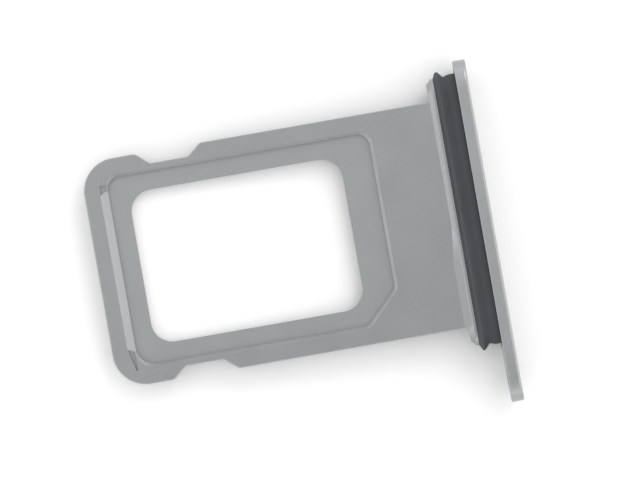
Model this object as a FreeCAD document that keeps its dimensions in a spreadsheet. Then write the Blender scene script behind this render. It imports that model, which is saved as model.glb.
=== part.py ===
"""A card tray for a phone: a flat metal tray with a face plate, and the rubber ring that seals it.

Millimetres. The tray lies flat, +Z up. X runs along the tray: the face plate's outer face is at x = 0 and
the free end points to -X. Y runs across it, and y = 0 is the middle of the tray's body. The plate's longer
overhang, with the eject pin hole, points to -Y.
"""

import FreeCAD, Part

import math
import os

import Sketcher

SIZES = {
    # The card and the room round it
    "card_length": 12.30,
    "card_width": 8.80,
    "card_clearance": 0.04,
    # The card pocket
    "pocket_depth": 0.75,
    "pocket_corner": 0.60,
    "pocket_far_corner": 0.88,
    "cut_leg": 1.52,
    "cut_blend": 0.50,
    "rim_bevel": 0.14,
    # The slant at the top of the far wall, and the two reliefs beside it
    "ramp_run": 0.38,
    "ramp_depth": 0.34,
    "relief_depth": 0.36,
    "relief_slant": 0.16,
    "relief_land": 0.05,
    "upper_relief_mouth": 0.58,
    "upper_relief_tip": 0.30,
    "upper_relief_taper": 0.05,
    "lower_relief_mouth": 0.70,
    "lower_relief_tip": -0.18,
    "lower_relief_taper": 0.26,
    # The window through the pocket's floor, as the widths of the ledge that stays round it
    "ledge_head": 1.49,
    "ledge_far": 0.89,
    "ledge_side": 0.85,
    "window_corner": 1.00,
    # The body
    "body_thickness": 1.10,
    "side_wall": 0.885,
    "end_bar": 0.73,
    "bridge_length": 3.07,
    "corner_radius": 1.55,
    "edge_break": 0.04,
    # The notches in its two long edges
    "notch_setback": 2.64,
    "notch_mouth": 3.06,
    "notch_slope": 0.63,
    "notch_depth": 0.54,
    "notch_blend": 0.30,
    # The collar, and the neck between it and the face plate
    "collar_thickness": 0.33,
    "collar_rise": 0.36,
    "collar_chamfer": 0.22,
    "foot_run": 0.19,
    "foot_rise": 0.20,
    "foot_start": -0.40,
    "foot_taper": 1.90,
    "groove_width": 1.04,
    "neck_height": 0.80,
    "neck_overhang": 0.615,
    "neck_shift": 0.083,
    # The face plate
    "plate_thickness": 0.60,
    "plate_height": 2.40,
    "short_overhang": 1.705,
    "long_overhang": 3.775,
    "crown_radius": 8.00,
    "plate_front_round": 0.08,
    "plate_back_round": 0.05,
    "eject_hole_radius": 0.50,
    "seal_recess": 0.03,
    # The seal ring's section
    "seal_gap": 0.01,
    "seal_root": 0.36,
    "lip_height": 0.27,
    "lip_place": 0.14,
    "lip_flat": 0.12,
    "lip_foot": 0.49,
    "shoulder_rise": 0.08,
    "shoulder_place": 0.76,
    "seal_round": 0.05,
}

# Room that a cut gets past the faces it leaves, so that none is left as a skin
CUT_MARGIN = 0.5
# How near a point lies to a corner to count as being on it
NEAR = 1e-4

# Places along X, from the face plate to the free end
PLATE_BACK = "-Sizes.plate_thickness"
COLLAR_NEAR = f"{PLATE_BACK} - Sizes.groove_width"
COLLAR_FAR = f"{COLLAR_NEAR} - Sizes.collar_thickness"
POCKET_NEAR = f"{COLLAR_FAR} - Sizes.bridge_length"
POCKET_FAR = f"{POCKET_NEAR} - Sizes.card_length - 2 * Sizes.card_clearance"
RAMP_RIM = f"{POCKET_FAR} - Sizes.ramp_run"
BODY_END = f"{RAMP_RIM} - Sizes.end_bar"
NOTCH_START = f"{BODY_END} + Sizes.notch_setback"
NOTCH_END = f"{NOTCH_START} + Sizes.notch_mouth"

# Half widths, from y = 0
POCKET_SIDE = "Sizes.card_width / 2 + Sizes.card_clearance"
BODY_SIDE = f"{POCKET_SIDE} + Sizes.side_wall"
NECK_REACH = f"{BODY_SIDE} + Sizes.neck_overhang"
COLLAR_REACH = f"{NECK_REACH} + Sizes.collar_rise"
PLATE_TOP_END = f"{BODY_SIDE} + Sizes.short_overhang"
PLATE_LOW_END = f"-({BODY_SIDE}) - Sizes.long_overhang"
PLATE_CENTRE = f"({PLATE_TOP_END} + {PLATE_LOW_END}) / 2"
PLATE_REACH = f"({PLATE_TOP_END} - ({PLATE_LOW_END})) / 2"

# Heights, from z = 0
BODY_TOP = "Sizes.body_thickness / 2"
NECK_TOP = "Sizes.neck_height / 2"
PLATE_TOP = "Sizes.plate_height / 2"

# How far the ring's lip stands from the neck
LIP_REACH = "Sizes.seal_root + Sizes.lip_height"


doc = FreeCAD.newDocument("card_tray")
sheet = doc.addObject("Spreadsheet::Sheet", "Sizes")
for row, (alias, size) in enumerate(SIZES.items(), start=1):
    sheet.set(f"A{row}", alias)
    sheet.set(f"B{row}", str(size))
    sheet.setAlias(f"B{row}", alias)
doc.recompute()


def number(expression):
    """The value of an expression on the sheet of sizes."""
    value = sheet.evalExpression(expression)
    return float(getattr(value, "Value", value))


def new_body(label):
    body = doc.addObject("PartDesign::Body", label)
    body.Label = label
    return body


def new_sketch(body, name, plane, offset="0"):
    """A sketch on one of the body's own planes, moved along that plane's normal by offset."""
    sketch = body.newObject("Sketcher::SketchObject", name)
    support = next(item for item in body.Origin.OriginFeatures if item.Role == plane)
    sketch.AttachmentSupport = [(support, "")]
    sketch.MapMode = "FlatFace"
    sketch.setExpression("AttachmentOffset.Base.z", offset)
    return sketch


def hold(sketch, kind, geometry, point, expression):
    """Ties a point's distance from the sketch's origin, along one axis, to an expression."""
    index = sketch.addConstraint(
        Sketcher.Constraint(kind, -1, 1, geometry, point, number(expression))
    )
    sketch.setExpression(f"Constraints[{index}]", expression)


def polygon(sketch, corners):
    """A closed outline through corners, each a pair of expressions."""
    points = [FreeCAD.Vector(number(x), number(y), 0) for x, y in corners]
    following = points[1:] + points[:1]
    lines = [
        sketch.addGeometry(Part.LineSegment(start, end), False)
        for start, end in zip(points, following)
    ]
    for line, after in zip(lines, lines[1:] + lines[:1]):
        sketch.addConstraint(Sketcher.Constraint("Coincident", line, 2, after, 1))
    for line, (x, y) in zip(lines, corners):
        hold(sketch, "DistanceX", line, 1, x)
        hold(sketch, "DistanceY", line, 1, y)


def stadium(sketch, centre, reach, half_height):
    """Two straight sides and two round ends. reach runs from the centre to either end."""
    middle = number(centre)
    radius = number(half_height)
    straight = number(reach) - radius
    up = FreeCAD.Vector(0, 0, 1)

    def at(x, y):
        return FreeCAD.Vector(middle + x, y, 0)

    top = sketch.addGeometry(Part.LineSegment(at(-straight, radius), at(straight, radius)), False)
    low = sketch.addGeometry(Part.LineSegment(at(straight, -radius), at(-straight, -radius)), False)
    right = sketch.addGeometry(
        Part.ArcOfCircle(Part.Circle(at(straight, 0), up, radius), -math.pi / 2, math.pi / 2), False
    )
    left = sketch.addGeometry(
        Part.ArcOfCircle(Part.Circle(at(-straight, 0), up, radius), math.pi / 2, 3 * math.pi / 2), False
    )
    for line, line_end, arc, arc_end in (
        (top, 2, right, 2),
        (low, 1, right, 1),
        (low, 2, left, 2),
        (top, 1, left, 1),
    ):
        sketch.addConstraint(Sketcher.Constraint("Tangent", line, line_end, arc, arc_end))
    for arc, sign in ((right, "+"), (left, "-")):
        sketch.addConstraint(Sketcher.Constraint("PointOnObject", arc, 3, -1))
        hold(sketch, "DistanceX", arc, 3, f"{centre} {sign} ({reach} - ({half_height}))")
    sketch.addConstraint(Sketcher.Constraint("Equal", right, left))
    index = sketch.addConstraint(Sketcher.Constraint("Radius", right, radius))
    sketch.setExpression(f"Constraints[{index}]", half_height)


def pad(body, name, sketch, length, both_ways=False):
    feature = body.newObject("PartDesign::Pad", name)
    feature.Profile = sketch
    feature.setExpression("Length", length)
    if both_ways:
        feature.SideType = "Symmetric"
    doc.recompute()
    return feature


def pocket(body, name, sketch, length, both_ways=False):
    """A cut against the sketch's normal, which has to take some of the solid away."""
    before = body.Shape.Volume
    feature = body.newObject("PartDesign::Pocket", name)
    feature.Profile = sketch
    feature.setExpression("Length", length)
    if both_ways:
        feature.SideType = "Symmetric"
    doc.recompute()
    if not body.Shape.Volume < before:
        raise RuntimeError(f"{name} cuts nothing")
    return feature


def dress(body, kind, name, size, wanted):
    """A fillet or a chamfer on the edges of the body's last feature for which wanted(edge) is true."""
    base = body.Tip
    edges = [f"Edge{index}" for index, edge in enumerate(base.Shape.Edges, start=1) if wanted(edge)]
    if not edges:
        raise RuntimeError(f"{name} finds no edge")
    feature = body.newObject(f"PartDesign::{kind}", name)
    feature.Base = (base, edges)
    feature.setExpression("Radius" if kind == "Fillet" else "Size", size)
    doc.recompute()
    return feature


def upright_at(corners):
    """A test for upright edges that stand on one of the corners, each a pair of expressions."""
    places = [(number(x), number(y)) for x, y in corners]

    def wanted(edge):
        ends = [vertex.Point for vertex in edge.Vertexes]
        return len(ends) == 2 and any(
            all(abs(end.x - x) < NEAR and abs(end.y - y) < NEAR for end in ends) for x, y in places
        )

    return wanted


def inside(edge, low, high):
    """Whether an edge's box lies between two corners."""
    box = edge.BoundBox
    return all(
        low[axis] - NEAR < (box.XMin, box.YMin, box.ZMin)[axis]
        and (box.XMax, box.YMax, box.ZMax)[axis] < high[axis] + NEAR
        for axis in range(3)
    )


def in_plane(edge, x):
    """Whether an edge lies in the plane at x."""
    box = edge.BoundBox
    return abs(box.XMin - x) < NEAR and abs(box.XMax - x) < NEAR


def add_face_plate(body):
    """The face plate: a crowned front, round ends, the eject pin hole and a shallow seat for the ring."""
    outline = new_sketch(body, "plate_outline", "YZ_Plane", PLATE_BACK)
    stadium(outline, PLATE_CENTRE, PLATE_REACH, PLATE_TOP)
    pad(body, "face_plate", outline, "Sizes.plate_thickness")

    crown = new_sketch(body, "crown_section", "XZ_Plane")
    radius = number("Sizes.crown_radius")
    height = f"{PLATE_TOP} + {CUT_MARGIN}"
    half_angle = math.asin(number(height) / radius)
    circle = Part.Circle(FreeCAD.Vector(-radius, 0, 0), FreeCAD.Vector(0, 0, 1), radius)
    arc = crown.addGeometry(Part.ArcOfCircle(circle, -half_angle, half_angle), False)
    start = crown.getPoint(arc, 1)
    end = crown.getPoint(arc, 2)
    outside = FreeCAD.Vector(CUT_MARGIN, 0, 0)
    corners = [end, FreeCAD.Vector(outside.x, end.y, 0), FreeCAD.Vector(outside.x, start.y, 0), start]
    lines = [
        crown.addGeometry(Part.LineSegment(first, second), False)
        for first, second in zip(corners, corners[1:])
    ]
    loop = [arc] + lines
    for edge, after in zip(loop, loop[1:] + loop[:1]):
        crown.addConstraint(Sketcher.Constraint("Coincident", edge, 2, after, 1))
    crown.addConstraint(Sketcher.Constraint("Horizontal", lines[0]))
    crown.addConstraint(Sketcher.Constraint("Vertical", lines[1]))
    crown.addConstraint(Sketcher.Constraint("Horizontal", lines[2]))
    crown.addConstraint(Sketcher.Constraint("PointOnObject", arc, 3, -1))
    hold(crown, "DistanceX", arc, 3, "-Sizes.crown_radius")
    hold(crown, "DistanceY", arc, 1, f"-({height})")
    hold(crown, "DistanceY", arc, 2, height)
    hold(crown, "DistanceX", lines[1], 1, str(CUT_MARGIN))
    index = crown.addConstraint(Sketcher.Constraint("Radius", arc, radius))
    crown.setExpression(f"Constraints[{index}]", "Sizes.crown_radius")
    pocket(body, "front_crown", crown, f"4 * ({PLATE_REACH})", both_ways=True)

    back = number(PLATE_BACK)
    dress(
        body,
        "Fillet",
        "plate_front_round",
        "Sizes.plate_front_round",
        lambda edge: edge.BoundBox.XMin > back / 2,
    )
    dress(body, "Fillet", "plate_back_round", "Sizes.plate_back_round", lambda edge: in_plane(edge, back))

    hole = new_sketch(body, "eject_hole_outline", "YZ_Plane", str(CUT_MARGIN))
    hole_circle = Part.Circle(
        FreeCAD.Vector(number(f"{PLATE_LOW_END} + {PLATE_TOP}"), 0, 0),
        FreeCAD.Vector(0, 0, 1),
        number("Sizes.eject_hole_radius"),
    )
    ring = hole.addGeometry(hole_circle, False)
    hole.addConstraint(Sketcher.Constraint("PointOnObject", ring, 3, -1))
    hold(hole, "DistanceX", ring, 3, f"{PLATE_LOW_END} + {PLATE_TOP}")
    index = hole.addConstraint(Sketcher.Constraint("Radius", ring, number("Sizes.eject_hole_radius")))
    hole.setExpression(f"Constraints[{index}]", "Sizes.eject_hole_radius")
    pocket(body, "eject_pin_hole", hole, f"Sizes.plate_thickness + 2 * {CUT_MARGIN}")

    seat = new_sketch(body, "seal_seat_outline", "YZ_Plane", f"{PLATE_BACK} + Sizes.seal_recess")
    room = f"{LIP_REACH} + Sizes.seal_gap"
    stadium(seat, "Sizes.neck_shift", f"{NECK_REACH} + {room}", f"{NECK_TOP} + {room}")
    pocket(body, "seal_seat", seat, f"Sizes.seal_recess + {CUT_MARGIN}")


def add_neck_and_collar(body):
    """The neck that the ring is pushed on, and the collar that keeps the ring from sliding off it."""
    neck = new_sketch(body, "neck_outline", "YZ_Plane", COLLAR_NEAR)
    stadium(neck, "Sizes.neck_shift", NECK_REACH, NECK_TOP)
    pad(body, "neck", neck, "Sizes.groove_width + Sizes.seal_recess")
    outline = new_sketch(body, "collar_outline", "YZ_Plane", COLLAR_FAR)
    stadium(outline, "Sizes.neck_shift", COLLAR_REACH, f"{NECK_TOP} + Sizes.collar_rise")
    pad(body, "collar", outline, "Sizes.collar_thickness")
    far = number(COLLAR_FAR)
    dress(body, "Chamfer", "collar_chamfer", "Sizes.collar_chamfer", lambda edge: in_plane(edge, far))


def add_blank(body):
    """The body's flat blank, with round far corners, a notch in each long edge and broken edges."""
    sketch = new_sketch(body, "body_outline", "XY_Plane")
    polygon(
        sketch,
        [
            (BODY_END, BODY_SIDE),
            (BODY_END, f"-({BODY_SIDE})"),
            (COLLAR_NEAR, f"-({BODY_SIDE})"),
            (COLLAR_NEAR, BODY_SIDE),
        ],
    )
    pad(body, "body_blank", sketch, "Sizes.body_thickness", both_ways=True)
    far_corners = [(BODY_END, BODY_SIDE), (BODY_END, f"-({BODY_SIDE})")]
    dress(body, "Fillet", "far_corners", "Sizes.corner_radius", upright_at(far_corners))

    notches = new_sketch(body, "notch_outlines", "XY_Plane")
    bends = []
    for sign in ("", "-"):
        edge = f"{sign}({BODY_SIDE})"
        outside = f"{sign}({BODY_SIDE} + {CUT_MARGIN})"
        floor = f"{sign}({BODY_SIDE} - Sizes.notch_depth)"
        wall = [
            (NOTCH_START, edge),
            (f"{NOTCH_START} + Sizes.notch_slope", floor),
            (f"{NOTCH_END} - Sizes.notch_slope", floor),
            (NOTCH_END, edge),
        ]
        polygon(notches, wall + [(NOTCH_END, outside), (NOTCH_START, outside)])
        bends += wall
    pocket(body, "notches", notches, f"Sizes.body_thickness + {CUT_MARGIN}", both_ways=True)
    dress(body, "Fillet", "notch_blends", "Sizes.notch_blend", upright_at(bends))

    collar = number(COLLAR_FAR)
    top = number(BODY_TOP)

    def rim(edge):
        box = edge.BoundBox
        flat = abs(abs(box.ZMin) - top) < NEAR and box.ZMax - box.ZMin < NEAR
        return flat and box.XMin < collar - NEAR

    dress(body, "Chamfer", "edge_break", "Sizes.edge_break", rim)


def add_card_pocket(body):
    """The pocket that holds the card: one corner cut at 45 degrees, and a bevelled rim."""
    side = f"-({POCKET_SIDE})"
    straight_corners = [(POCKET_FAR, POCKET_SIDE), (POCKET_NEAR, POCKET_SIDE)]
    far_corner = (POCKET_FAR, side)
    cut_corners = [
        (f"{POCKET_NEAR} - Sizes.cut_leg", side),
        (POCKET_NEAR, f"{side} + Sizes.cut_leg"),
    ]
    outline = new_sketch(body, "pocket_outline", "XY_Plane", BODY_TOP)
    polygon(outline, [straight_corners[0], far_corner] + cut_corners + [straight_corners[1]])
    pocket(body, "card_pocket", outline, "Sizes.pocket_depth")
    dress(body, "Fillet", "pocket_corners", "Sizes.pocket_corner", upright_at(straight_corners))
    dress(body, "Fillet", "pocket_far_corner", "Sizes.pocket_far_corner", upright_at([far_corner]))
    dress(body, "Fillet", "pocket_cut_blends", "Sizes.cut_blend", upright_at(cut_corners))
    low = (number(POCKET_FAR), number(side), number(BODY_TOP))
    high = (number(POCKET_NEAR), number(POCKET_SIDE), number(BODY_TOP))
    dress(body, "Chamfer", "rim_bevel", "Sizes.rim_bevel", lambda edge: inside(edge, low, high))


def add_far_wall(body):
    """The slant that leads the card in over the pocket's far wall, and the relief at each of its ends."""
    upper_mouth = f"{POCKET_SIDE} - Sizes.upper_relief_mouth"
    lower_mouth = f"-({POCKET_SIDE} - Sizes.lower_relief_mouth)"
    foot = f"{BODY_TOP} - Sizes.ramp_depth"
    slant = new_sketch(body, "ramp_section", "XZ_Plane", f"-({lower_mouth})")
    polygon(
        slant,
        [
            (POCKET_FAR, foot),
            (f"{POCKET_FAR} + Sizes.rim_bevel", foot),
            (f"{POCKET_FAR} + Sizes.rim_bevel", BODY_TOP),
            (RAMP_RIM, BODY_TOP),
        ],
    )
    pocket(body, "far_wall_ramp", slant, f"{upper_mouth} - ({lower_mouth})")

    reliefs = new_sketch(body, "relief_outlines", "XY_Plane", BODY_TOP)
    for sign, mouth, tip, taper in (
        ("", upper_mouth, f"{POCKET_SIDE} - Sizes.upper_relief_tip", "Sizes.upper_relief_taper"),
        ("-", lower_mouth, f"-({POCKET_SIDE} - Sizes.lower_relief_tip)", "Sizes.lower_relief_taper"),
    ):
        inner = f"{POCKET_FAR} - Sizes.relief_land"
        polygon(
            reliefs,
            [
                (RAMP_RIM, f"{mouth} - {sign}Sizes.relief_slant"),
                (inner, mouth),
                (inner, tip),
                (f"{RAMP_RIM} + {taper}", tip),
            ],
        )
    pocket(body, "corner_reliefs", reliefs, "Sizes.relief_depth")


def add_window(body):
    """The window through the pocket's floor, which leaves a ledge for the card all round."""
    far = f"{POCKET_FAR} + Sizes.ledge_far"
    near = f"{POCKET_NEAR} - Sizes.ledge_head"
    side = f"{POCKET_SIDE} - Sizes.ledge_side"
    corners = [(far, side), (far, f"-({side})"), (near, f"-({side})"), (near, side)]
    outline = new_sketch(body, "window_outline", "XY_Plane")
    polygon(outline, corners)
    pocket(body, "window", outline, f"Sizes.body_thickness + {CUT_MARGIN}", both_ways=True)
    dress(body, "Fillet", "window_corners", "Sizes.window_corner", upright_at(corners))


def add_foot(body):
    """The slope that fills the corner between the body's top and the collar, on the cut corner's side."""
    inner = f"{COLLAR_FAR} + Sizes.collar_chamfer + Sizes.edge_break"
    sections = []
    for name, run, place in (
        ("foot_start", "-Sizes.edge_break", "Sizes.foot_start"),
        ("foot_full", "Sizes.foot_run", "Sizes.foot_start - Sizes.foot_taper"),
        ("foot_end", "Sizes.foot_run", f"-({BODY_SIDE}) + Sizes.edge_break"),
    ):
        section = new_sketch(body, name, "XZ_Plane", f"-({place})")
        outer = f"{COLLAR_FAR} - {run}"
        polygon(
            section,
            [
                (outer, NECK_TOP),
                (inner, NECK_TOP),
                (inner, f"{BODY_TOP} + Sizes.foot_rise"),
                (outer, BODY_TOP),
            ],
        )
        sections.append(section)
    doc.recompute()
    foot = body.newObject("PartDesign::AdditiveLoft", "collar_foot")
    foot.Profile = sections[0]
    foot.Sections = sections[1:]
    foot.Ruled = True
    doc.recompute()


def build_tray():
    body = new_body("tray")
    add_face_plate(body)
    add_neck_and_collar(body)
    add_blank(body)
    add_foot(body)
    add_card_pocket(body)
    add_far_wall(body)
    add_window(body)
    return body


def build_seal_ring():
    """The rubber ring: one section with a tall lip and a low shoulder, swept round the tray's neck."""
    body = new_body("seal_ring")
    spine = new_sketch(body, "ring_path", "YZ_Plane", COLLAR_NEAR)
    stadium(spine, "Sizes.neck_shift", NECK_REACH, NECK_TOP)

    straight_start = f"Sizes.neck_shift - ({NECK_REACH} - {NECK_TOP})"
    section = new_sketch(body, "ring_section", "XZ_Plane", f"-({straight_start})")
    root = f"{NECK_TOP} + Sizes.seal_gap"
    valley = f"{NECK_TOP} + Sizes.seal_root"
    back = f"{COLLAR_NEAR} + Sizes.seal_gap"
    front = f"{PLATE_BACK} + Sizes.seal_recess - Sizes.seal_gap"
    lip_start = f"{COLLAR_NEAR} + Sizes.lip_place"
    polygon(
        section,
        [
            (back, root),
            (back, valley),
            (lip_start, f"{valley} + Sizes.lip_height"),
            (f"{lip_start} + Sizes.lip_flat", f"{valley} + Sizes.lip_height"),
            (f"{COLLAR_NEAR} + Sizes.lip_foot", valley),
            (f"{COLLAR_NEAR} + Sizes.shoulder_place", f"{valley} + Sizes.shoulder_rise"),
            (front, f"{valley} + Sizes.shoulder_rise"),
            (front, root),
        ],
    )
    doc.recompute()
    ring = body.newObject("PartDesign::AdditivePipe", "ring_sweep")
    ring.Profile = section
    ring.Spine = spine
    ring.Mode = "Binormal"
    ring.Binormal = FreeCAD.Vector(1, 0, 0)
    doc.recompute()

    surface = number(valley)

    def outer_edge(edge):
        box = edge.BoundBox
        swept = box.XMax - box.XMin < NEAR and box.YMax - box.YMin > NEAR
        return swept and max(box.ZMax, -box.ZMin) > surface - NEAR

    dress(body, "Fillet", "ring_rounds", "Sizes.seal_round", outer_edge)
    return body


pieces = [build_tray(), build_seal_ring()]
doc.recompute()

for item in doc.Objects:
    if "Invalid" in item.State or "Error" in item.State:
        raise RuntimeError(f"{item.Name} failed: {item.State}")
for piece in pieces:
    if piece.Shape.isNull() or not piece.Shape.isValid() or len(piece.Shape.Solids) != 1:
        raise RuntimeError(f"{piece.Label} isn't one sound solid")

os.makedirs("parts", exist_ok=True)
for piece in pieces:
    piece.Shape.exportStep(f"parts/{piece.Label}.step")
    box = piece.Shape.BoundBox
    print(
        f"{piece.Label}: volume {piece.Shape.Volume:.3f}, "
        f"x {box.XMin:.3f} to {box.XMax:.3f}, "
        f"y {box.YMin:.3f} to {box.YMax:.3f}, "
        f"z {box.ZMin:.3f} to {box.ZMax:.3f}"
    )
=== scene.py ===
"""The looks of the card tray: its blasted metal, its rubber ring and the plain white stage it lies on.

Metres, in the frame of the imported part: +X out of the phone, +Y across the tray, +Z up.
"""

import math

import bpy
from bpy.props import FloatProperty, FloatVectorProperty, PointerProperty
from mathutils import Matrix, Vector

bl_info = {
    "name": "Card tray looks",
    "version": (1, 0, 0),
    "blender": (4, 5, 0),
    "location": "View3D > Sidebar > Card Tray",
    "description": "Dresses a phone's card tray in blasted metal and rubber, and lays it on a white stage",
    "category": "Object",
}

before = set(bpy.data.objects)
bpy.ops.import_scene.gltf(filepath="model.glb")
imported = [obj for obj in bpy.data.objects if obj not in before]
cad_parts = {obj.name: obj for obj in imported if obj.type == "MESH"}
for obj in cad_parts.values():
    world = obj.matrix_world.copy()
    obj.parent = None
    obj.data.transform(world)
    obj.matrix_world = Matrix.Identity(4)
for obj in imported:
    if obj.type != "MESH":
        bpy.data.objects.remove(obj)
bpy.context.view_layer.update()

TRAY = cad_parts["tray"]
SEAL_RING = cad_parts["seal_ring"]

# Where the camera looks, in the plane of the tray's top, and the picture's width there and turn from +X
AIM = Vector((-0.008093, -0.000105, 0.00055))
PICTURE_WIDTH = 0.02977
PICTURE_TURN = math.radians(10)
SENSOR_WIDTH = 36.0
CLIP_NEAR = 0.005
CLIP_FAR = 10.0

# The height of the card pocket's floor, and the rise above it over which its lighter tone ends
POCKET_FLOOR = -0.0002
POCKET_FLOOR_FADE = 0.00005

# Where the face plate's back lies along X, and how far behind it the plate's lighter tone has ended
PLATE_BACK = -0.0006
PLATE_FADE = 0.00005

# The metal's soft clouds and its speckles, which together make its tone wander
CLOUD_WIDTH = 0.0018
CLOUD_SHARE = 0.6
SPECKLE_PER_PIT = 1.6
METAL_TONE_SWING = 0.045
METAL_ROUGHNESS_SWING = 0.03

# The line along the seal ring where its two lips meet, and how far the painted light reaches that makes
# the rubber paler there, against the shade that falls in the valley
VALLEY = -0.00123
PAINTED_LIGHT_REACH = 0.00016

# The rubber's mottle, and the fine relief of its moulded skin
MOTTLE_WIDTH = 0.0011
RUBBER_TONE_SWING = 0.08
RUBBER_ROUGHNESS_SWING = 0.05
SKIN_WIDTH = 0.00012
SKIN_DEPTH = 0.000001

# The values between which nearly all of a noise lies
NOISE_REACH = (0.3, 0.7)

# The two lines that the tray rests on: the face plate's lower edge and the free end's lower edge
PLATE_REST = (-0.00035, -0.0012)
FREE_END_REST = (-0.01849, -0.00055)

# Paper is matt and hardly glossy
PAPER_ROUGHNESS = 0.9
PAPER_GLOSS = 0.1

# The heights between which the tent's bright horizon fades into its even top, as parts of its radius
TENT_RISE = (0.15, 0.75)

# The softbox that the metal sees overhead, in place of the tent's top: its middle and its width, the turn
# from +X in which it brightens, and how far from its middle it stops doing so
SOFTBOX_MIDDLE = Vector((-0.009, 0.0, 0.05))
SOFTBOX_WIDTH = 0.08
SOFTBOX_BEARING = math.radians(117)
SOFTBOX_REACH = 0.016

# The side lamp's lean from straight overhead, and its turn from +X
LAMP_LEAN = math.radians(52)
LAMP_BEARING = math.radians(55)


class TrayMetalSettings(bpy.types.PropertyGroup):
    colour: FloatVectorProperty(
        name="Metal colour",
        description="Colour that the bare metal reflects",
        subtype="COLOR",
        size=3,
        min=0.0,
        max=1.0,
        default=(0.318, 0.326, 0.334),
    )
    roughness: FloatProperty(
        name="Roughness",
        description="How matt the blasting leaves the metal",
        subtype="FACTOR",
        min=0.0,
        max=1.0,
        default=0.30,
    )
    floor_tone: FloatProperty(
        name="Pocket floor tone",
        description="How much lighter the pocket's milled floor is than the blasted top",
        min=0.5,
        max=2.0,
        default=1.06,
    )
    plate_tone: FloatProperty(
        name="Face plate tone",
        description="How much lighter the face plate's finish is than the blasted body",
        min=0.5,
        max=2.0,
        default=1.10,
    )
    grain: FloatProperty(
        name="Grain size",
        description="Width of one pit that the blasting leaves",
        subtype="DISTANCE",
        unit="LENGTH",
        min=0.00001,
        max=0.001,
        default=0.00007,
    )
    grain_depth: FloatProperty(
        name="Grain depth",
        description="Depth of the blasted pits",
        subtype="DISTANCE",
        unit="LENGTH",
        min=0.0,
        max=0.00005,
        default=0.0000012,
    )


class SealRubberSettings(bpy.types.PropertyGroup):
    colour: FloatVectorProperty(
        name="Rubber colour",
        description="Colour of the moulded rubber",
        subtype="COLOR",
        size=3,
        min=0.0,
        max=1.0,
        default=(0.0561, 0.06, 0.0666),
    )
    roughness: FloatProperty(
        name="Roughness",
        description="How matt the rubber is",
        subtype="FACTOR",
        min=0.0,
        max=1.0,
        default=0.75,
    )
    gloss: FloatProperty(
        name="Gloss",
        description="How strongly the rubber's skin mirrors the light",
        subtype="FACTOR",
        min=0.0,
        max=1.0,
        default=0.3,
    )
    # Painted light: the rubber is painted paler in the valley between its two lips, to offset the shade
    # that falls there
    painted_light: FloatProperty(
        name="Valley bloom",
        description="How much paler the rubber is in the valley between its two lips",
        min=0.5,
        max=2.0,
        default=1.28,
    )


class StageSettings(bpy.types.PropertyGroup):
    floor_colour: FloatVectorProperty(
        name="Floor colour",
        description="Colour of the paper that the tray lies on",
        subtype="COLOR",
        size=3,
        min=0.0,
        max=1.0,
        default=(0.86, 0.86, 0.86),
    )
    floor_white: FloatVectorProperty(
        name="Floor white",
        description="Colour that the paper shows to the camera and in the metal",
        subtype="COLOR",
        size=3,
        min=0.0,
        max=1.0,
        default=(0.94, 0.94, 0.94),
    )
    floor_size: FloatProperty(
        name="Floor size",
        description="Width of the paper",
        subtype="DISTANCE",
        unit="LENGTH",
        min=0.05,
        max=10.0,
        default=2.0,
    )
    tent_top: FloatProperty(
        name="Tent top",
        description="Strength of the white tent overhead",
        min=0.0,
        max=5.0,
        default=1.0,
    )
    tent_sides: FloatProperty(
        name="Tent sides",
        description="How much brighter the tent is at its horizon",
        min=0.0,
        max=5.0,
        default=0.45,
    )
    tent_ends: FloatProperty(
        name="Tent ends",
        description="How much brighter still its horizon is beyond the tray's two ends",
        min=0.0,
        max=5.0,
        default=0.58,
    )
    softbox_swing: FloatProperty(
        name="Softbox swing",
        description="How much darker and brighter than the tent's top the softbox is at its two ends",
        min=0.0,
        max=1.0,
        default=0.11,
    )
    lamp_strength: FloatProperty(
        name="Side lamp strength",
        description="Light that the side lamp sheds on a surface that faces it",
        min=0.0,
        max=5.0,
        default=0.55,
    )
    lamp_width: FloatProperty(
        name="Side lamp width",
        description="How wide the side lamp looks from the tray",
        subtype="ANGLE",
        unit="ROTATION",
        min=0.0,
        max=math.pi,
        default=math.radians(34),
    )
    lens: FloatProperty(
        name="Lens",
        description="Focal length of the camera, in millimetres",
        min=20.0,
        max=1000.0,
        default=450.0,
    )


def new_material(name):
    """A node material with a single Principled shader, ready to be wired."""
    material = bpy.data.materials.new(name)
    material.use_nodes = True
    nodes = material.node_tree.nodes
    return material, nodes, material.node_tree.links, nodes["Principled BSDF"]


def place(nodes, kind, **settings):
    """A new node with these settings."""
    node = nodes.new(kind)
    for name, value in settings.items():
        setattr(node, name, value)
    return node


def calculate(nodes, links, operation, *values):
    """The result of a Math node, whose values are sockets or plain numbers."""
    node = place(nodes, "ShaderNodeMath", operation=operation)
    for socket, value in zip(node.inputs, values):
        if isinstance(value, bpy.types.NodeSocket):
            links.new(value, socket)
        else:
            socket.default_value = value
    return node.outputs["Value"]


def part_of(nodes, links, vector, axis):
    """One part of a vector, by its axis letter."""
    node = place(nodes, "ShaderNodeSeparateXYZ")
    links.new(vector, node.inputs["Vector"])
    return node.outputs[axis]


def remap(nodes, links, value, reach, result, curve="LINEAR"):
    """Turns reach into result, and holds a value beyond reach at result's ends."""
    node = place(nodes, "ShaderNodeMapRange", interpolation_type=curve)
    names = ("From Min", "From Max", "To Min", "To Max")
    for name, number in zip(names, (*reach, *result)):
        node.inputs[name].default_value = number
    links.new(value, node.inputs["Value"])
    return node.outputs["Result"]


def noise(nodes, links, coordinates, width, detail=2.0, roughness=0.5):
    """A noise whose lumps are about width across, in metres, over the object's own space."""
    node = place(nodes, "ShaderNodeTexNoise")
    node.inputs["Scale"].default_value = 1.0 / width
    node.inputs["Detail"].default_value = detail
    node.inputs["Roughness"].default_value = roughness
    links.new(coordinates, node.inputs["Vector"])
    return node.outputs["Fac"]


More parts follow.
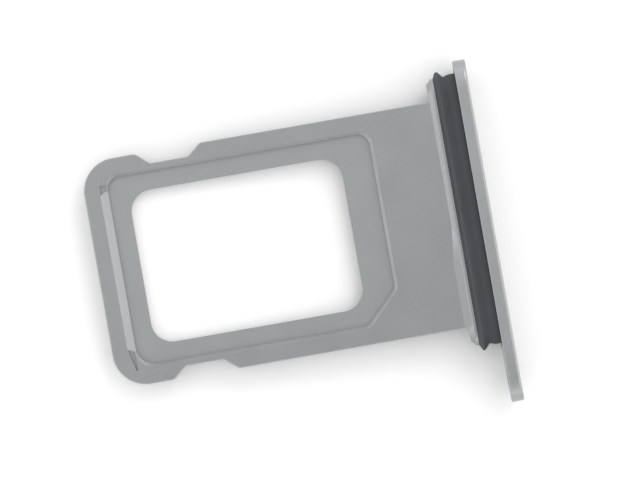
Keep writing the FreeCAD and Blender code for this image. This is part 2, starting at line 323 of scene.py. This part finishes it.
def wandering_colour(nodes, links, lumps, colour, swing):
    """A colour that grows darker and lighter by the swing, where the lumps of a noise are."""
    tone = place(nodes, "ShaderNodeMix", data_type="RGBA", blend_type="MIX")
    links.new(remap(nodes, links, lumps, NOISE_REACH, (0.0, 1.0)), tone.inputs["Factor"])
    colour = Vector(colour)
    tone.inputs["A"].default_value = (*(colour * (1 - swing)), 1.0)
    tone.inputs["B"].default_value = (*(colour * (1 + swing)), 1.0)
    return tone.outputs["Result"]


def wandering_roughness(nodes, links, lumps, roughness, swing):
    """A roughness that is less and more by the swing, where the lumps of a noise are."""
    return remap(nodes, links, lumps, NOISE_REACH, (roughness - swing, roughness + swing))


def scaled(nodes, links, colour, factor):
    """A colour times a factor, both sockets."""
    node = place(nodes, "ShaderNodeVectorMath", operation="SCALE")
    links.new(colour, node.inputs["Vector"])
    links.new(factor, node.inputs["Scale"])
    return node.outputs["Vector"]


def relief(nodes, links, height, depth):
    """The normal of a surface with a fine relief of this depth, in metres."""
    bump = place(nodes, "ShaderNodeBump")
    bump.inputs["Strength"].default_value = 1.0
    bump.inputs["Distance"].default_value = depth
    links.new(height, bump.inputs["Height"])
    return bump.outputs["Normal"]


def dress(node, material):
    """Gives a solid of the part this material alone."""
    node.data.materials.clear()
    node.data.materials.append(material)


class OBJECT_OT_dress_tray(bpy.types.Operator):
    """Gives the tray its fine blasted metal"""

    bl_idname = "object.dress_card_tray"
    bl_label = "Dress the tray"

    def execute(self, context):
        settings = context.scene.tray_metal
        material, nodes, links, shader = new_material("blasted_metal")
        coordinates = place(nodes, "ShaderNodeTexCoord").outputs["Object"]
        shader.inputs["Metallic"].default_value = 1.0

        cloud = noise(nodes, links, coordinates, CLOUD_WIDTH, detail=3.0)
        speckle = noise(nodes, links, coordinates, settings.grain * SPECKLE_PER_PIT, detail=1.0)
        speckle_part = calculate(nodes, links, "MULTIPLY", speckle, 1 - CLOUD_SHARE)
        lumps = calculate(nodes, links, "MULTIPLY_ADD", cloud, CLOUD_SHARE, speckle_part)
        blasted = wandering_colour(nodes, links, lumps, settings.colour, METAL_TONE_SWING)
        height = part_of(nodes, links, coordinates, "Z")
        floor_fade = (POCKET_FLOOR, POCKET_FLOOR + POCKET_FLOOR_FADE)
        floor_part = remap(nodes, links, height, floor_fade, (settings.floor_tone, 1.0))
        along = part_of(nodes, links, coordinates, "X")
        plate_fade = (PLATE_BACK - PLATE_FADE, PLATE_BACK)
        plate_part = remap(nodes, links, along, plate_fade, (1.0, settings.plate_tone))
        milled = scaled(nodes, links, blasted, floor_part)
        links.new(scaled(nodes, links, milled, plate_part), shader.inputs["Base Color"])

        rough = wandering_roughness(nodes, links, cloud, settings.roughness, METAL_ROUGHNESS_SWING)
        links.new(rough, shader.inputs["Roughness"])

        pits = noise(nodes, links, coordinates, settings.grain, detail=2.0, roughness=0.6)
        links.new(relief(nodes, links, pits, settings.grain_depth), shader.inputs["Normal"])
        dress(TRAY, material)
        return {"FINISHED"}


class OBJECT_OT_dress_seal_ring(bpy.types.Operator):
    """Gives the seal ring its smooth moulded rubber"""

    bl_idname = "object.dress_seal_ring"
    bl_label = "Dress the seal ring"

    def execute(self, context):
        settings = context.scene.seal_rubber
        material, nodes, links, shader = new_material("moulded_rubber")
        coordinates = place(nodes, "ShaderNodeTexCoord").outputs["Object"]
        shader.inputs["Specular IOR Level"].default_value = settings.gloss

        mottle = noise(nodes, links, coordinates, MOTTLE_WIDTH, detail=3.0)
        moulded = wandering_colour(nodes, links, mottle, settings.colour, RUBBER_TONE_SWING)
        # Painted light: the rubber is made paler along the valley between its lips, to offset the valley's
        # shade
        across = part_of(nodes, links, coordinates, "X")
        from_valley = calculate(nodes, links, "SUBTRACT", across, VALLEY)
        gap = calculate(nodes, links, "ABSOLUTE", from_valley)
        painted_light = remap(nodes, links, gap, (0.0, PAINTED_LIGHT_REACH), (settings.painted_light, 1.0), "SMOOTHSTEP")
        links.new(scaled(nodes, links, moulded, painted_light), shader.inputs["Base Color"])

        rough = wandering_roughness(nodes, links, mottle, settings.roughness, RUBBER_ROUGHNESS_SWING)
        links.new(rough, shader.inputs["Roughness"])

        skin = noise(nodes, links, coordinates, SKIN_WIDTH)
        links.new(relief(nodes, links, skin, SKIN_DEPTH), shader.inputs["Normal"])
        dress(SEAL_RING, material)
        return {"FINISHED"}


def new_sheet(name, width, material):
    """A square sheet round the origin, for the stage."""
    half = width / 2
    corners = [(-half, -half, 0), (half, -half, 0), (half, half, 0), (-half, half, 0)]
    mesh = bpy.data.meshes.new(name)
    mesh.from_pydata(corners, [], [(0, 1, 2, 3)])
    mesh.materials.append(material)
    sheet = bpy.data.objects.new(name, mesh)
    bpy.context.scene.collection.objects.link(sheet)
    return sheet


def new_paper(settings):
    """White paper, which the camera and the metal see whiter than it lights the tray."""
    material, nodes, links, shader = new_material("white_paper")
    shader.inputs["Roughness"].default_value = PAPER_ROUGHNESS
    shader.inputs["Specular IOR Level"].default_value = PAPER_GLOSS
    path = place(nodes, "ShaderNodeLightPath")
    seen = path.outputs["Is Camera Ray"]
    for ray in ("Is Glossy Ray", "Is Transmission Ray"):
        seen = calculate(nodes, links, "MAXIMUM", seen, path.outputs[ray])
    colour = place(nodes, "ShaderNodeMix", data_type="RGBA", blend_type="MIX")
    links.new(seen, colour.inputs["Factor"])
    colour.inputs["A"].default_value = (*settings.floor_colour, 1.0)
    colour.inputs["B"].default_value = (*settings.floor_white, 1.0)
    links.new(colour.outputs["Result"], shader.inputs["Base Color"])
    return material


def lay_floor(settings):
    """A sheet of white paper under the tray, tilted as the tray would tip to rest on it."""
    floor = new_sheet("floor", settings.floor_size, new_paper(settings))
    fall = math.atan2(PLATE_REST[1] - FREE_END_REST[1], PLATE_REST[0] - FREE_END_REST[0])
    rest = Vector((PLATE_REST[0], 0, PLATE_REST[1]))
    floor.matrix_world = Matrix.Translation(rest) @ Matrix.Rotation(-fall, 4, "Y")


def light_world(settings):
    """A white tent: even overhead, brighter at its horizon, and most of all beyond the tray's two ends."""
    world = bpy.data.worlds.new("light_tent")
    world.use_nodes = True
    nodes, links = world.node_tree.nodes, world.node_tree.links
    direction = place(nodes, "ShaderNodeTexCoord").outputs["Generated"]
    height = part_of(nodes, links, direction, "Z")
    endwise = part_of(nodes, links, direction, "X")

    glow = remap(nodes, links, height, TENT_RISE, (1.0, 0.0), "SMOOTHSTEP")
    ends = calculate(nodes, links, "MULTIPLY", endwise, endwise)
    horizon = calculate(nodes, links, "MULTIPLY_ADD", ends, settings.tent_ends, settings.tent_sides)
    strength = calculate(nodes, links, "MULTIPLY_ADD", glow, horizon, settings.tent_top)

    background = nodes["Background"]
    background.inputs["Color"].default_value = (1.0, 1.0, 1.0, 1.0)
    links.new(strength, background.inputs["Strength"])
    bpy.context.scene.world = world


def new_glow(settings):
    """White light that brightens along the softbox, from below the tent's strength to above it."""
    material, nodes, links, shader = new_material("softbox_glow")
    coordinates = place(nodes, "ShaderNodeTexCoord").outputs["Object"]
    along = part_of(nodes, links, coordinates, "X")
    low = settings.tent_top * (1 - settings.softbox_swing)
    high = settings.tent_top * (1 + settings.softbox_swing)
    strength = remap(
        nodes, links, along, (-SOFTBOX_REACH, SOFTBOX_REACH), (low, high), "SMOOTHSTEP"
    )
    shader.inputs["Base Color"].default_value = (0.0, 0.0, 0.0, 1.0)
    shader.inputs["Specular IOR Level"].default_value = 0.0
    shader.inputs["Emission Color"].default_value = (1.0, 1.0, 1.0, 1.0)
    links.new(strength, shader.inputs["Emission Strength"])
    return material


def hang_softbox(settings):
    """A softbox close over the tray, which only shiny surfaces see, and which shades the flat metal."""
    softbox = new_sheet("softbox", SOFTBOX_WIDTH, new_glow(settings))
    softbox.matrix_world = Matrix.Translation(SOFTBOX_MIDDLE) @ Matrix.Rotation(SOFTBOX_BEARING, 4, "Z")
    softbox.visible_camera = False
    softbox.visible_diffuse = False
    softbox.visible_transmission = False
    softbox.visible_shadow = False


def add_side_lamp(settings):
    """One broad white lamp far off, beside the face plate, which throws the tray's soft shadow."""
    data = bpy.data.lights.new("side_lamp", "SUN")
    data.energy = settings.lamp_strength
    data.angle = settings.lamp_width
    lamp = bpy.data.objects.new("side_lamp", data)
    bpy.context.scene.collection.objects.link(lamp)
    lamp.matrix_world = Matrix.Rotation(LAMP_BEARING, 4, "Z") @ Matrix.Rotation(LAMP_LEAN, 4, "Y")


def add_camera(settings):
    """A long lens that looks straight down on the tray, which points up to the right in the picture."""
    data = bpy.data.cameras.new("camera")
    data.sensor_width = SENSOR_WIDTH
    data.lens = settings.lens
    data.clip_start = CLIP_NEAR
    data.clip_end = CLIP_FAR
    camera = bpy.data.objects.new("camera", data)
    bpy.context.scene.collection.objects.link(camera)
    distance = PICTURE_WIDTH * settings.lens / SENSOR_WIDTH
    stand = Matrix.Translation(AIM + Vector((0, 0, distance)))
    camera.matrix_world = stand @ Matrix.Rotation(-PICTURE_TURN, 4, "Z")
    bpy.context.scene.camera = camera


class SCENE_OT_lay_stage(bpy.types.Operator):
    """Lays the floor, lights the stage and sets the camera"""

    bl_idname = "scene.lay_card_tray_stage"
    bl_label = "Lay the stage"

    def execute(self, context):
        settings = context.scene.tray_stage
        lay_floor(settings)
        light_world(settings)
        hang_softbox(settings)
        add_side_lamp(settings)
        add_camera(settings)
        context.scene.view_settings.view_transform = "Standard"
        return {"FINISHED"}


class VIEW3D_PT_card_tray(bpy.types.Panel):
    """Lists the tray's pieces and their settings"""

    bl_label = "Card Tray"
    bl_space_type = "VIEW_3D"
    bl_region_type = "UI"
    bl_category = "Card Tray"

    def draw(self, context):
        scene = context.scene
        for settings, operator in (
            (scene.tray_metal, OBJECT_OT_dress_tray),
            (scene.seal_rubber, OBJECT_OT_dress_seal_ring),
            (scene.tray_stage, SCENE_OT_lay_stage),
        ):
            box = self.layout.box()
            for name in type(settings).__annotations__:
                box.prop(settings, name)
            box.operator(operator.bl_idname)


CLASSES = (
    TrayMetalSettings,
    SealRubberSettings,
    StageSettings,
    OBJECT_OT_dress_tray,
    OBJECT_OT_dress_seal_ring,
    SCENE_OT_lay_stage,
    VIEW3D_PT_card_tray,
)


def register():
    for cls in CLASSES:
        bpy.utils.register_class(cls)
    bpy.types.Scene.tray_metal = PointerProperty(type=TrayMetalSettings)
    bpy.types.Scene.seal_rubber = PointerProperty(type=SealRubberSettings)
    bpy.types.Scene.tray_stage = PointerProperty(type=StageSettings)


def unregister():
    del bpy.types.Scene.tray_stage
    del bpy.types.Scene.seal_rubber
    del bpy.types.Scene.tray_metal
    for cls in reversed(CLASSES):
        bpy.utils.unregister_class(cls)


def main():
    register()
    bpy.ops.object.dress_card_tray()
    bpy.ops.object.dress_seal_ring()
    bpy.ops.scene.lay_card_tray_stage()


if __name__ == "__main__":
    main()
